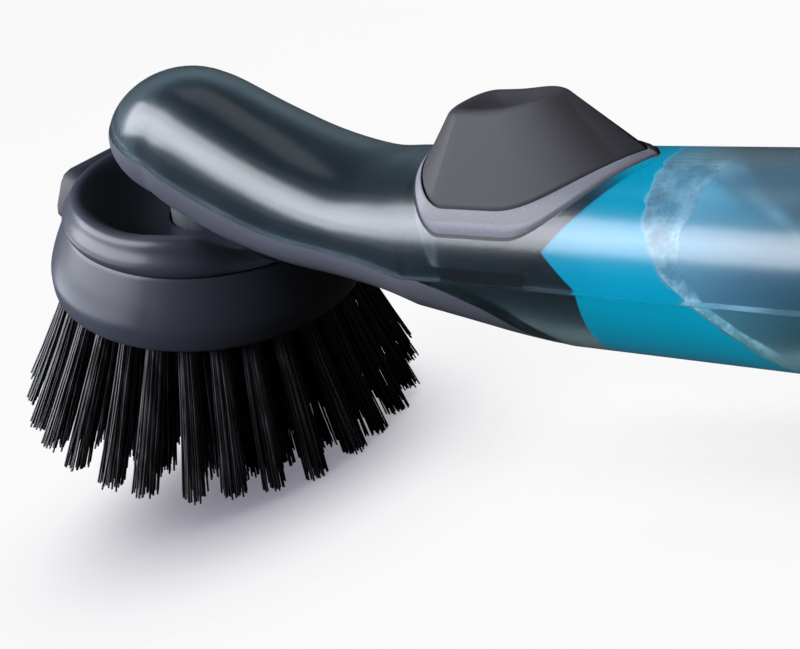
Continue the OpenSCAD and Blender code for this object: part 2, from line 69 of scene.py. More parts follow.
handle = {
    "radius": 15.5,
    "wall": 2.1,
    "weldTurn": 0.2,  # degrees left open on each side of the weld
    "noseLength": 18,
    "neckSteps": 7,
    "noseSteps": 16,
    "sides": 44,
    # Station: x, height of the seam, crown above it, belly below it, half width, lean in degrees
    "neck": [
        (60.4, 27.11, 15.5, 10.2, 15.5, 16),
        (53, 26.9, 13.4, 9.7, 15.2, 11),
        (43, 25.6, 12.2, 9.7, 14.6, 5),
        (30, 23.9, 13.9, 10.4, 14.1, -1),
        (16, 24.65, 14.9, 12, 13.8, -7),
        (4, 26.5, 15.24, 12.4, 13.5, -12),
        (-1, 27.5, 14.9, 12.35, 12.8, -16),
    ],
    # The belly fills out along the start of the tube: distance along it, depth
    "belly": [(27, 15.5), (18, 14.2), (9, 12.2)],
    # The seam between the grey cover and the clear shell, along the tube and above its axis
    "coverEdge": [(3.5, 0.4), (5.4, -0.4), (9, -1.5), (13, -3.2), (17, -5.4), (21, -9.4), (24, -12.3),
                  (26.5, -17)],
    "coverGap": 0.1,
    "coverProud": 0.05,
    "nozzleHole": 6.45,
    "tankStations": (tubeLength, 110, 70, 40),
}
creaseTurn = 38  # edges that turn by more than this many degrees stay sharp


def makeObject(name, bm, matrix, material, body, replaces=(), sharp=creaseTurn, recalc=True):
    # turns a bmesh into a finished piece, with its place in its mesh
    if recalc:
        bmesh.ops.recalc_face_normals(bm, faces=bm.faces[:])
    mesh = bpy.data.meshes.new(name)
    bm.to_mesh(mesh)
    bm.free()
    mesh.transform(matrix)
    mesh.shade_smooth()
    mesh.set_sharp_from_angle(angle=math.radians(sharp))
    piece = bpy.data.objects.new(name, mesh)
    bpy.context.scene.collection.objects.link(piece)
    materials = material if isinstance(material, (list, tuple)) else [material]
    for entry in materials:
        mesh.materials.append(entry)
    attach(piece, body)
    if replaces:
        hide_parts(*replaces)
    return piece


def above(vert, fresh):
    # the newly extruded point that stands on a point
    return next(e.other_vert(vert) for e in vert.link_edges if e.other_vert(vert) in fresh)


def loft(bm, rings, capStart=False, capEnd=False, wrap=False):
    # the first ring is drawn, and each next one is extruded from the last and set in place
    count = len(rings[0])
    verts = [bm.verts.new(p) for p in rings[0]]
    edges = [bm.edges.new((verts[i], verts[(i + 1) % count])) for i in range(count)]
    firstEdges = edges
    for ring in rings[1:]:
        made = bmesh.ops.extrude_edge_only(bm, edges=edges)["geom"]
        fresh = {g for g in made if isinstance(g, bmesh.types.BMVert)}
        verts = [above(v, fresh) for v in verts]
        for vert, place in zip(verts, ring):
            vert.co = place
        edges = [g for g in made if isinstance(g, bmesh.types.BMEdge) and set(g.verts) <= fresh]
    if capStart:
        bmesh.ops.contextual_create(bm, geom=firstEdges)
    if capEnd:
        bmesh.ops.contextual_create(bm, geom=edges)
    if wrap:
        bmesh.ops.bridge_loops(bm, edges=firstEdges + edges)


def spinProfile(bm, points, steps):
    # a full turn of a profile given as radius and height; its ends are merged
    verts = [bm.verts.new((r, 0, z)) for r, z in points]
    edges = [bm.edges.new(pair) for pair in zip(verts, verts[1:])]
    bmesh.ops.spin(bm, geom=verts + edges, cent=(0, 0, 0), axis=(0, 0, 1), angle=math.tau, steps=steps,
                   use_merge=True, use_duplicate=False)
    bmesh.ops.remove_doubles(bm, verts=bm.verts[:], dist=1e-4)


def smoothStep(u):
    u = min(max(u, 0), 1)
    return u * u * (3 - 2 * u)


def through(a, b, c, d, u):
    # a smooth curve between b and c
    square = (2 * a - 5 * b + 4 * c - d) * u ** 2
    cube = (3 * b - a - 3 * c + d) * u ** 3
    return (2 * b + (c - a) * u + square + cube) / 2


def smoothList(points, steps):
    # the points of a list, with a smooth curve through them
    result = []
    last = len(points) - 1
    for i in range(last):
        four = [points[max(i - 1, 0)], points[i], points[i + 1], points[min(i + 2, last)]]
        for j in range(steps):
            result.append(tuple(through(*values, j / steps) for values in zip(*four)))
    result.append(tuple(points[-1]))
    return result


def tubeStation(along, depth):
    radius = handle["radius"]
    return (tubeStart.x + along * math.cos(handleRise), tubeStart.z + along * math.sin(handleRise),
            radius, depth, radius, math.degrees(handleRise))


def handleStations():
    neck = handle["neck"]
    belly = [tubeStation(*pair) for pair in handle["belly"]] + [neck[0]]
    stations = [tubeStation(along, handle["radius"]) for along in handle["tankStations"]]
    stations += smoothList(belly, 6)[:-1] + smoothList(neck, handle["neckSteps"])[:-1]
    x, seam, crown, belly, width, lean = neck[-1]
    for k in range(handle["noseSteps"] + 1):
        share = k / handle["noseSteps"]
        turn = math.pi / 2 * share
        shrink = max(math.cos(turn), 0.02)
        run = handle["noseLength"] * math.sin(turn)
        stations.append((x - run, seam + 0.05 * run, crown * shrink, belly * shrink, width * shrink,
                         lean - 8 * share))
    return stations


def eggPoint(station, turn, inset):
    # a point on a station's section: turn 0 and 180 are on the weld and 90 is on top
    x, seam, crown, belly, width, lean = station
    start = handle["neck"][-1][0]
    angle = math.radians(turn)
    high = max((crown if math.sin(angle) >= 0 else belly) - inset, 0.3) * math.sin(angle)
    back = inset * (start - x) / handle["noseLength"] if x < start else 0
    lean = math.radians(lean)
    return Vector((x - high * math.sin(lean) + back, max(width - inset, 0.3) * math.cos(angle),
                   seam + high * math.cos(lean)))


def wallRings(fromTurn, toTurn, proud=0.0):
    # the wall of the handle between two turns, out along its outside and back along its inside
    sides = handle["sides"]
    turns = [fromTurn + (toTurn - fromTurn) * i / sides for i in range(sides + 1)]
    wall = handle["wall"]
    return [[eggPoint(s, t, -proud) for t in turns] + [eggPoint(s, t, wall) for t in reversed(turns)]
            for s in handleStations()]


def sideCutter(points, frameMatrix, reach=40):
    # a solid that is an outline in X and Z, pushed through along Y
    bm = bmesh.new()
    verts = [bm.verts.new((x, -reach, z)) for x, z in points]
    face = bm.faces.new(verts)
    made = bmesh.ops.extrude_face_region(bm, geom=[face])["geom"]
    far = [g for g in made if isinstance(g, bmesh.types.BMVert)]
    bmesh.ops.translate(bm, vec=(0, 2 * reach, 0), verts=far)
    return cutterObject(bm, frameMatrix)


def cutterObject(bm, matrix):
    bmesh.ops.recalc_face_normals(bm, faces=bm.faces[:])
    mesh = bpy.data.meshes.new("cutter")
    bm.to_mesh(mesh)
    bm.free()
    mesh.transform(matrix)
    cutter = bpy.data.objects.new("cutter", mesh)
    bpy.context.scene.collection.objects.link(cutter)
    return cutter


def cutWith(piece, cutter, operation="DIFFERENCE", solver="EXACT"):
    # applies a boolean at once and clears the cutter away
    modifier = piece.modifiers.new("cut", "BOOLEAN")
    modifier.operation = operation
    modifier.solver = solver
    modifier.object = cutter
    bpy.context.view_layer.update()
    graph = bpy.context.evaluated_depsgraph_get()
    mesh = bpy.data.meshes.new_from_object(piece.evaluated_get(graph))
    piece.modifiers.clear()
    old = piece.data
    piece.data = mesh
    mesh.name = old.name
    mesh.shade_smooth()
    mesh.set_sharp_from_angle(angle=math.radians(creaseTurn))
    bpy.data.meshes.remove(old)
    cutterMesh = cutter.data
    bpy.data.objects.remove(cutter)
    bpy.data.meshes.remove(cutterMesh)


def shieldOutline(front, flatFrom, flatTo, tail, width):
    # round in front and drawn to a point at the tail, once round
    steps = 28
    tailPower = 1.9
    half = []
    for i in range(steps + 1):
        u = math.pi / 2 * i / steps
        half.append((flatFrom - (flatFrom - front) * math.cos(u), width * math.sin(u)))
    for i in range(1, 7):
        half.append((flatFrom + (flatTo - flatFrom) * i / 7, width))
    for i in range(steps + 1):
        u = math.pi / 2 * i / steps
        half.append((flatTo + (tail - flatTo) * math.sin(u), width * max(math.cos(u), 0) ** tailPower))
    return half + [(x, -y) for x, y in reversed(half[1:-1])]


def circle(radius, sides):
    return [(radius * math.cos(math.tau * i / sides), radius * math.sin(math.tau * i / sides))
            for i in range(sides)]


def onCylinder(radius, y):
    return math.sqrt(max(radius ** 2 - y * y, 0))


print("helpers ready")


def feed(tree, target, inputs):
    # an input gets a value, or a link where the value is the output of another node
    for key, value in inputs.items():
        if isinstance(value, bpy.types.NodeSocket):
            tree.links.new(value, target.inputs[key])
        else:
            target.inputs[key].default_value = value


def node(tree, kind, inputs=None, **values):
    made = tree.nodes.new(kind)
    for key, value in values.items():
        setattr(made, key, value)
    feed(tree, made, inputs or {})
    return made


def objectPlace(tree):
    return node(tree, "ShaderNodeTexCoord").outputs["Object"]


def noise(tree, place, scale, detail=2):
    made = node(tree, "ShaderNodeTexNoise", {"Vector": place, "Scale": scale, "Detail": detail})
    return made.outputs["Fac"]


def maths(tree, operation, *values):
    made = node(tree, "ShaderNodeMath", dict(enumerate(values)), operation=operation)
    return made.outputs["Value"]


def scaled(tree, vector, amount):
    made = node(tree, "ShaderNodeVectorMath", {0: vector, "Scale": amount}, operation="SCALE")
    return made.outputs["Vector"]


def spread(tree, value, low, high, fromLow=0, fromHigh=1):
    # brings a value from one range to another
    made = node(tree, "ShaderNodeMapRange", {"Value": value, "From Min": fromLow, "From Max": fromHigh,
                                             "To Min": low, "To Max": high})
    return made.outputs["Result"]


def colorRamp(tree, source, stops, interpolation="LINEAR"):
    # each stop is a place and a colour, and the places rise
    made = node(tree, "ShaderNodeValToRGB", {"Fac": source})
    ramp = made.color_ramp
    ramp.interpolation = interpolation
    for element, (place, color) in zip(ramp.elements, (stops[0], stops[-1])):
        element.position = place
        element.color = (*color, 1)
    for place, color in stops[1:-1]:
        ramp.elements.new(place).color = (*color, 1)
    return made.outputs["Color"]


def relief(tree, height, strength, distance):
    made = node(tree, "ShaderNodeBump", {"Height": height, "Strength": strength, "Distance": distance})
    return made.outputs["Normal"]


finishOutputs = [("Color", "NodeSocketColor"), ("Roughness", "NodeSocketFloat"),
                 ("Height", "NodeSocketFloat")]


def newGroup(name, inputs, outputs):
    group = bpy.data.node_groups.new(name, "ShaderNodeTree")
    for label, kind, value in inputs:
        group.interface.new_socket(label, in_out="INPUT", socket_type=kind).default_value = value
    for label, kind in outputs:
        group.interface.new_socket(label, in_out="OUTPUT", socket_type=kind)
    return group, node(group, "NodeGroupInput").outputs, node(group, "NodeGroupOutput")


def mouldedFinishGroup():
    # colour mottling, roughness variation and a fine height for moulded plastic
    group, enter, leave = newGroup("mouldedFinish", [
        ("Color", "NodeSocketColor", (0.2, 0.2, 0.2, 1)),
        ("Mottle", "NodeSocketFloat", 0.08),
        ("Roughness", "NodeSocketFloat", 0.4),
        ("Smear", "NodeSocketFloat", 0.05),
        ("Grain Scale", "NodeSocketFloat", 2500.0),
        ("Sparkle", "NodeSocketFloat", 0.0),
    ], finishOutputs)
    place = objectPlace(group)
    grain = noise(group, place, enter["Grain Scale"])
    shade = maths(group, "SUBTRACT", noise(group, place, 45, 4), 0.5)
    mottled = maths(group, "MULTIPLY_ADD", shade, enter["Mottle"], 1)
    specks = spread(group, grain, 0, 1, 0.58, 0.8)
    tone = maths(group, "MULTIPLY_ADD", specks, enter["Sparkle"], mottled)
    feed(group, leave, {
        "Color": scaled(group, enter["Color"], tone),
        "Roughness": maths(group, "MULTIPLY_ADD", shade, enter["Smear"], enter["Roughness"]),
        "Height": grain,
    })
    return group


def mouldedFlowGroup():
    # the faint ripple, haze and tint change of a clear moulding
    group, enter, leave = newGroup("mouldedFlow", [
        ("Tint", "NodeSocketColor", (0.7, 0.75, 0.78, 1)),
        ("Roughness", "NodeSocketFloat", 0.12),
    ], finishOutputs)
    flow = noise(group, objectPlace(group), 60)
    feed(group, leave, {
        "Color": scaled(group, enter["Tint"], spread(group, flow, 0.96, 1.03)),
        "Roughness": scaled(group, enter["Roughness"], spread(group, flow, 0.85, 1.15)),
        "Height": flow,
    })
    return group


mouldedFinish = mouldedFinishGroup()
mouldedFlow = mouldedFlowGroup()


def newMaterial(name, color):
    material = bpy.data.materials.new(name)
    material.use_nodes = True
    material.diffuse_color = (*color, 1)
    tree = material.node_tree
    shader = tree.nodes["Principled BSDF"]
    return material, tree, shader


def mouldedMaterial(name, color, roughness, mottle=0.1, smear=0.06, grainScale=2500, bump=0.1, sparkle=0.0,
                    specular=0.5):
    material, tree, shader = newMaterial(name, color)
    finish = node(tree, "ShaderNodeGroup", {
        "Color": (*color, 1),
        "Mottle": mottle,
        "Roughness": roughness,
        "Smear": smear,
        "Grain Scale": grainScale,
        "Sparkle": sparkle,
    }, node_tree=mouldedFinish).outputs
    feed(tree, shader, {
        "Base Color": finish["Color"],
        "Roughness": finish["Roughness"],
        "Normal": relief(tree, finish["Height"], bump, 0.1 * mm),
        "Specular IOR Level": specular,
    })
    return material


def clearMaterial(name, color, roughness):
    material, tree, shader = newMaterial(name, color)
    flow = node(tree, "ShaderNodeGroup", {"Tint": (*color, 1), "Roughness": roughness},
                node_tree=mouldedFlow).outputs
    feed(tree, shader, {
        "Base Color": flow["Color"],
        "Roughness": flow["Roughness"],
        "Normal": relief(tree, flow["Height"], 0.02, 1 * mm),
        "IOR": 1.46,
        "Transmission Weight": 1,
    })
    return material


def soapMaterial():
    # teal washing-up liquid, cloudy in its depth, with painted shade that makes it darker towards the
    # underside of the handle, and a painted glow in its own colour that stands in for light through the tank
    material, tree, shader = newMaterial("soapLiquid", (0.0, 0.33, 0.47))
    place = objectPlace(tree)
    cloudy = colorRamp(tree, noise(tree, place, 30), [(0.3, (0.0, 0.30, 0.45)), (0.7, (0.0, 0.36, 0.51))])
    up = (tubeFrame.to_3x3() @ Vector((0, 0, 1))).normalized()
    axisHeight = tubePlace.dot(up)
    height = node(tree, "ShaderNodeVectorMath", {0: place, 1: up}, operation="DOT_PRODUCT").outputs["Value"]
    # painted shade: the liquid's colour falls off below the handle's axis
    lit = spread(tree, height, 0.42, 1, axisHeight - 14 * mm, axisHeight + 3 * mm)
    tone = scaled(tree, cloudy, lit)
    # painted light: the liquid glows with its own colour
    feed(tree, shader, {
        "Base Color": tone,
        "Emission Color": tone,
        "Emission Strength": 0.84,
        "Roughness": 0.25,
        "Specular IOR Level": 0,
    })
    return material


def soapTopMaterial():
    # painted reflection: the free surface glows with a colour that changes with height, dark low down like
    # the dark end of the handle and pale above like the room
    material, tree, shader = newMaterial("soapTop", (0.1, 0.27, 0.35))
    low = (tubeFrame @ Vector((66, 0, -13))).z
    high = (tubeFrame @ Vector((46, 0, 9))).z
    place = node(tree, "ShaderNodeSeparateXYZ", {"Vector": objectPlace(tree)})
    paintedReflection = colorRamp(tree, spread(tree, place.outputs["Z"], 0, 1, low, high), [
        (0, (0.003, 0.01, 0.015)), (0.45, (0.055, 0.125, 0.17)), (1, (0.15, 0.36, 0.46))])
    feed(tree, shader, {
        "Base Color": paintedReflection,
        "Emission Color": paintedReflection,
        "Emission Strength": 1.5,
        "Roughness": 0.3,
    })
    return material


def foamMaterial():
    # thin soapy bubbles, paler along their walls
    material, tree, shader = newMaterial("soapFoam", (0.55, 0.7, 0.74))
    froth = noise(tree, objectPlace(tree), 900)
    rim = node(tree, "ShaderNodeLayerWeight", {"Blend": 0.35}).outputs["Facing"]
    feed(tree, shader, {
        "Base Color": colorRamp(tree, froth, [(0, (0.25, 0.42, 0.47)), (1, (0.7, 0.82, 0.84))]),
        "Alpha": spread(tree, rim, 0.18, 0.95),
        "Roughness": 0.12,
    })
    return material


def frothMaterial():
    # a pale wet film with thin places, which glows with painted light
    material, tree, shader = newMaterial("soapFroth", (0.5, 0.62, 0.68))
    place = objectPlace(tree)
    cells = node(tree, "ShaderNodeTexVoronoi", {"Vector": place, "Scale": 950}, feature="DISTANCE_TO_EDGE")
    cloud = noise(tree, place, 240, 5)
    color = colorRamp(tree, cloud, [(0.35, (0.14, 0.28, 0.35)), (0.6, (0.6, 0.74, 0.8))])
    walls = spread(tree, cells.outputs["Distance"], 0.95, 0.5, 0, 0.3)
    # painted light: the film glows in its own colour
    feed(tree, shader, {
        "Base Color": color,
        "Emission Color": color,
        "Emission Strength": 0.7,
        "Alpha": maths(tree, "MULTIPLY", walls, spread(tree, cloud, 0.45, 1, 0.3, 0.6)),
        "Roughness": 0.4,
    })
    return material


def springMaterial():
    # drawn steel wire with fine marks
    material, tree, shader = newMaterial("springSteel", (0.6, 0.61, 0.62))
    marks = noise(tree, objectPlace(tree), 3000)
    feed(tree, shader, {
        "Base Color": colorRamp(tree, marks, [(0, (0.5, 0.51, 0.53)), (1, (0.68, 0.69, 0.7))]),
        "Roughness": spread(tree, marks, 0.2, 0.38),
        "Metallic": 1,
    })
    return material


def nylonMaterial():
    # black nylon with a grey sheen that differs from tuft to tuft
    material, tree, shader = newMaterial("nylon", (0.012, 0.012, 0.014))
    along = node(tree, "ShaderNodeMapping", {"Vector": objectPlace(tree), "Scale": (1, 1, 0.15)})
    patches = noise(tree, along.outputs["Vector"], 400)
    feed(tree, shader, {
        "Base Color": colorRamp(tree, patches, [(0.45, (0.006, 0.006, 0.007)), (0.7, (0.035, 0.035, 0.04))]),
        "Roughness": spread(tree, patches, 0.3, 0.46),
    })
    return material


smokyClear = clearMaterial("smokyClear", (0.43, 0.63, 0.76), 0.21)
blueClear = clearMaterial("blueClear", (0.42, 0.68, 0.75), 0.2)
soapLiquid = soapMaterial()
soapTop = soapTopMaterial()
soapFoam = foamMaterial()
soapFroth = frothMaterial()
springSteel = springMaterial()
nylon = nylonMaterial()
coverGrey = mouldedMaterial("coverGrey", (0.04, 0.042, 0.054), 0.42, bump=0.12)
bezelGrey = mouldedMaterial("bezelGrey", (0.1, 0.1, 0.12), 0.38, grainScale=3200, bump=0.3, sparkle=0.5)
buttonGrey = mouldedMaterial("buttonGrey", (0.0125, 0.012, 0.015), 0.56, mottle=0.12, grainScale=3800,
                             bump=0.18, specular=0.4)
headGrey = mouldedMaterial("headGrey", (0.017, 0.019, 0.027), 0.31, mottle=0.12, bump=0.08)
scraperGrey = mouldedMaterial("scraperGrey", (0.011, 0.012, 0.017), 0.48, mottle=0.12, specular=0.35)
innerBlack = mouldedMaterial("innerBlack", (0.006, 0.016, 0.026), 0.6, specular=0.15)
collarGrey = mouldedMaterial("collarGrey", (0.05, 0.055, 0.062), 0.4)
paleRubber = mouldedMaterial("paleRubber", (0.5, 0.48, 0.43), 0.6)
blackRubber = mouldedMaterial("blackRubber", (0.012, 0.012, 0.014), 0.65, bump=0.15)
whitePlastic = mouldedMaterial("whitePlastic", (0.4, 0.41, 0.42), 0.4, bump=0.08)
hoseClear = mouldedMaterial("hoseClear", (0.35, 0.4, 0.42), 0.3, bump=0.08)
print("materials ready")

# CAD nodes that keep their own shape get their finish here
nodeFinish = {
    innerBlack: ("pump_housing", "neck_core", "bristle_block"),
    paleRubber: ("inlet_valve", "outlet_valve"),
    hoseClear: ("feed_tube",),
    collarGrey: ("nozzle", "filler_collar"),
    blackRubber: ("bezel_seal", "nozzle_seal", "piston_seal", "cap_seal", "head_gasket"),
    whitePlastic: ("plunger",),
    springSteel: ("return_spring",),
}
for material, names in nodeFinish.items():
    for name in names:
        data = frame["nodes"][name].data
        data.materials.clear()
        data.materials.append(material)


button = {
    "length": (2, 10.5, 20, 40.6),  # front, flat side from and to, tail, all along the tube
    "rimLength": (8.2, 13, 19, 29.3),
    "rimWidth": 4.7,
    "hollowLength": (3.3, 11, 19, 33),
    "skirtWall": 2.2,
    "dishCentre": (17, 0),
    "dishEnd": 29.6,
    "bezelLength": (0.8, 9.7, 22, 42.4),
    "foot": 6.6,
    "hollowTop": 11.5,
    "width": 11.6,
    "top": 24.7,
    "peak": 25.6,
    "dish": 1.6,
    "bezelWidth": 13.4,
    "proud": 0.9,
    "gap": 0.3,
    "sealWidth": 0.38,
    "frontRound": 0.16,
    "rearRound": 0.05,
}
bezelOutline = shieldOutline(*button["bezelLength"], button["bezelWidth"])
buttonOutline = shieldOutline(*button["length"], button["width"])
buttonRim = shieldOutline(*button["rimLength"], button["rimWidth"])


def mixed(a, b, u):
    return tuple(p + (q - p) * u for p, q in zip(a, b))


def widened(outline, amount):
    # an outline moved outwards by an amount
    result = []
    count = len(outline)
    for i in range(count):
        before, after = Vector(outline[i - 1]), Vector(outline[(i + 1) % count])
        along = (after - before).normalized()
        result.append((outline[i][0] - along.y * amount, outline[i][1] + along.x * amount))
    return result


def outlineCutter(outline, amount, low, high):
    bm = bmesh.new()
    ring = widened(outline, amount)
    loft(bm, [[(x, y, low) for x, y in ring], [(x, y, high) for x, y in ring]], capStart=True, capEnd=True)
    return cutterObject(bm, tubeFrame)


def behindEdge(shift):
    # everything behind the edge of the cover, up to past the end of the tube
    edge = [(x + shift, z) for x, z in smoothList(handle["coverEdge"], 6)]
    top = 4
    return [(edge[0][0], top)] + edge + [(tubeLength + 24, edge[-1][1]), (tubeLength + 24, top)]


def wallPiece(name, fromTurn, toTurn, material, replaces, proud=0.0):
    bm = bmesh.new()
    loft(bm, wallRings(fromTurn, toTurn, proud), capStart=True, capEnd=True)
    return makeObject(name, bm, headFrame, material, "root", replaces)


def makeShells():
    weld = handle["weldTurn"]
    upper = wallPiece("upperShell", weld, 180 - weld, smokyClear, ["upper_shell"])
    cutWith(upper, outlineCutter(bezelOutline, button["sealWidth"] + 0.02, 2, 20))
    lower = wallPiece("lowerShell", 180 + weld, 360 - weld, blueClear, ["lower_shell"])
    cutWith(lower, sideCutter(behindEdge(handle["coverGap"]), tubeFrame), "INTERSECT")
    cover = wallPiece("neckCover", 180 + weld, 360 - weld, coverGrey, ["neck_cover"],
                      handle["coverProud"])
    cutWith(cover, sideCutter(behindEdge(0), tubeFrame))
    bm = bmesh.new()
    loft(bm, [[(x, y, z) for x, y in circle(handle["nozzleHole"], 64)] for z in (-5, 20)], capStart=True,
         capEnd=True)
    cutWith(cover, cutterObject(bm, headFrame))


makeShells()
print("shells made")


def makeBezel():
    # outer foot, rounded shoulder, sloped band and the lip round the button
    inner = widened(buttonOutline, button["gap"])
    radius = handle["radius"]
    # Point of the section: share of the way from the outside to the button, height above the handle
    profile = [(0, -2.05), (0, -0.1), (0.015, 0.08), (0.06, 0.22), (0.15, 0.34), (0.4, 0.5), (0.7, 0.68),
               (0.88, 0.8), (0.96, 0.78), (1, 0.55), (1, -2.05)]
    rings = []
    for u, height in profile:
        ring = [mixed(a, b, u) for a, b in zip(bezelOutline, inner)]
        rings.append([(x, y, onCylinder(radius + height, y)) for x, y in ring])
    bm = bmesh.new()
    loft(bm, rings, wrap=True)
    makeObject("buttonBezel", bm, tubeFrame, bezelGrey, "root", ["button_bezel"])
    bm = bmesh.new()
    outer = widened(bezelOutline, button["sealWidth"])
    inside = widened(bezelOutline, 0.03)
    band = [(outer, radius - 1.9), (outer, radius - 0.12), (inside, radius - 0.12), (inside, radius - 1.9)]
    loft(bm, [[(x, y, onCylinder(level, y)) for x, y in ring] for ring, level in band], wrap=True)
    makeObject("bezelSeal", bm, tubeFrame, blackRubber, "root", ["bezel_seal"])


def rimHeight(x):
    # the rim drops in front of 13 and rises to the peak behind 18
    return (button["top"] - 0.9 * (max(13 - x, 0) / 5) ** 2
            + (button["peak"] - button["top"]) * (max(x - 18, 0) / 11.3) ** 1.6)


def dishPoint(rim, centre, u):
    # the thumb rest sinks from its rim and runs out flat under the peak
    x, y = mixed(rim, centre, u)
    sunk = button["dish"] * (1 - (1 - u) ** 2) * min(1, max(button["dishEnd"] - x, 0) / 9)
    return Vector((x, y, rimHeight(x) - sunk))


def bezier(a, b, c, u):
    return a * (1 - u) ** 2 + b * 2 * u * (1 - u) + c * u * u


def makeButton():
    base = handle["radius"] + button["proud"]
    hollow = shieldOutline(*button["hollowLength"], button["width"] - button["skirtWall"])
    rings = [[(x, y, button["hollowTop"]) for x, y in hollow],
             [(x, y, button["foot"]) for x, y in hollow],
             [(x, y, button["foot"]) for x, y in buttonOutline],
             [(x, y, onCylinder(base, y) - 0.6) for x, y in buttonOutline]]
    centre = button["dishCentre"]
    sides, corners, dishes = [], [], []
    for foot, rim in zip(buttonOutline, buttonRim):
        start = Vector((*foot, onCylinder(base, foot[1])))
        corner = Vector((*rim, rimHeight(rim[0])))
        rear = smoothStep((rim[0] - 16) / 11)
        ease = button["frontRound"] + (button["rearRound"] - button["frontRound"]) * rear
        below = corner.lerp(start, ease)
        inward = 1.6 * ease
        sides.append([start.lerp(below, u) for u in (0, 0.03, 0.2, 0.4, 0.6, 0.8)])
        above = dishPoint(rim, centre, inward)
        corners.append([bezier(below, corner, above, u) for u in (0, 0.12, 0.25, 0.4, 0.55, 0.7, 0.85)])
        dishes.append([dishPoint(rim, centre, inward + (0.98 - inward) * u)
                       for u in (0, 0.1, 0.2, 0.32, 0.44, 0.56, 0.68, 0.8, 0.9, 1)])
    for lines in (sides, corners, dishes):
        rings += [[tuple(line[k]) for line in lines] for k in range(len(lines[0]))]
    bm = bmesh.new()
    loft(bm, rings, capStart=True, capEnd=True)
    makeObject("buttonCap", bm, tubeFrame, buttonGrey, "button", ["button_cap"], sharp=58)


spring = {
    "centre": 17,  # along the tube
    "radius": 5.3,
    "wire": 0.35,
    "turns": 5,
    "low": -8.15,
    "high": -0.25,
    "keep": 0.54,
}


def makeSpring():
    # an evenly wound coil that rises from the chamber's floor
    perTurn = 24
    steps = spring["turns"] * perTurn
    rings = []
    for k in range(steps + 1):
        turn = math.tau * k / perTurn
        out = Vector((math.cos(turn), math.sin(turn), 0))
        height = spring["low"] + (spring["high"] - spring["low"]) * k / steps
        middle = Vector((spring["centre"], 0, height)) + out * spring["radius"]
        section = circle(spring["wire"], 10)
        rings.append([middle + out * across + Vector((0, 0, up)) for across, up in section])
    bm = bmesh.new()
    loft(bm, rings, capStart=True, capEnd=True)
    coil = makeObject("returnSpring", bm, tubeFrame, springSteel, "root", ["return_spring"])
    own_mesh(coil)


makeBezel()
makeButton()
makeSpring()
print("button made")


soap = {
    "radius": 13.45,  # it wets the inside of the wall
    "from": 33.7,  # just behind the pump housing
    "frontSlope": 8.5 / 8,
    # Point of the free surface on the wall: height above the axis, place along the tube
    "foam": [(16, 43.5), (9, 44.6), (3.1, 47.9), (-5.6, 58.1), (-16, 68)],
    "bubbles": 900,
    "bubbleReach": 12.95,
    "filmRadius": 13.3,
    "filmThick": 0.12,
}


def foamPlace(z):
    # where the liquid's surface is at a height above the axis
    line = soap["foam"]
    for (z0, t0), (z1, t1) in zip(line, line[1:]):
        if z >= z1:
            return t0 + (t1 - t0) * (z0 - z) / (z0 - z1)
    return line[-1][1]


def soapFront(z):
    # the liquid starts at the rear of the pump housing, which slopes forward above the axis
    return soap["from"] - max(z, 0) * soap["frontSlope"]


def makeSoap():
    sides = 96
    radius = soap["radius"]
    rings = []
    # Ring: share of the radius, share of the way from the front of the liquid to its free surface
    front = [(share, 0) for share in (0.02, 0.4, 0.8, 0.97)]
    side = [(1, part) for part in (0, 0.25, 0.5, 0.75, 1)]
    surface = [(share, 1) for share in (0.97, 0.85, 0.6, 0.3, 0.02)]
    for share, part in front + side + surface:
        ring = []
        for i in range(sides):
            turn = math.tau * i / sides
            y, z = radius * share * math.cos(turn), radius * share * math.sin(turn)
            wave = 0.25 * math.sin(23 * turn) + 0.2 * math.sin(37 * turn + 1)
            start = soapFront(z)
            end = foamPlace(z) + wave * share - 1.2 * (1 - share ** 2)
            ring.append((start + (end - start) * part, y, z))
        rings.append(ring)
    bm = bmesh.new()
    loft(bm, rings, capStart=True, capEnd=True)
    for face in bm.faces:
        middle = face.calc_center_median()
        atSurface = middle.x > foamPlace(middle.z) - 2.2
        if atSurface and math.hypot(middle.y, middle.z) < radius - 0.1:
            face.material_index = 1
    materials = [soapLiquid, soapTop]
    makeObject("soapBody", bm, tubeFrame, materials, "root", ["soap"], sharp=60)


def addBubbles(bm, bubbles):
    # small spheres, each made by itself and joined to the froth as a mesh
    for place, size in bubbles:
        one = bmesh.new()
        bmesh.ops.create_icosphere(one, subdivisions=2, radius=size, matrix=Matrix.Translation(place))
        mesh = bpy.data.meshes.new("bubble")
        one.to_mesh(mesh)
        one.free()
        bm.from_mesh(mesh)
        bpy.data.meshes.remove(mesh)


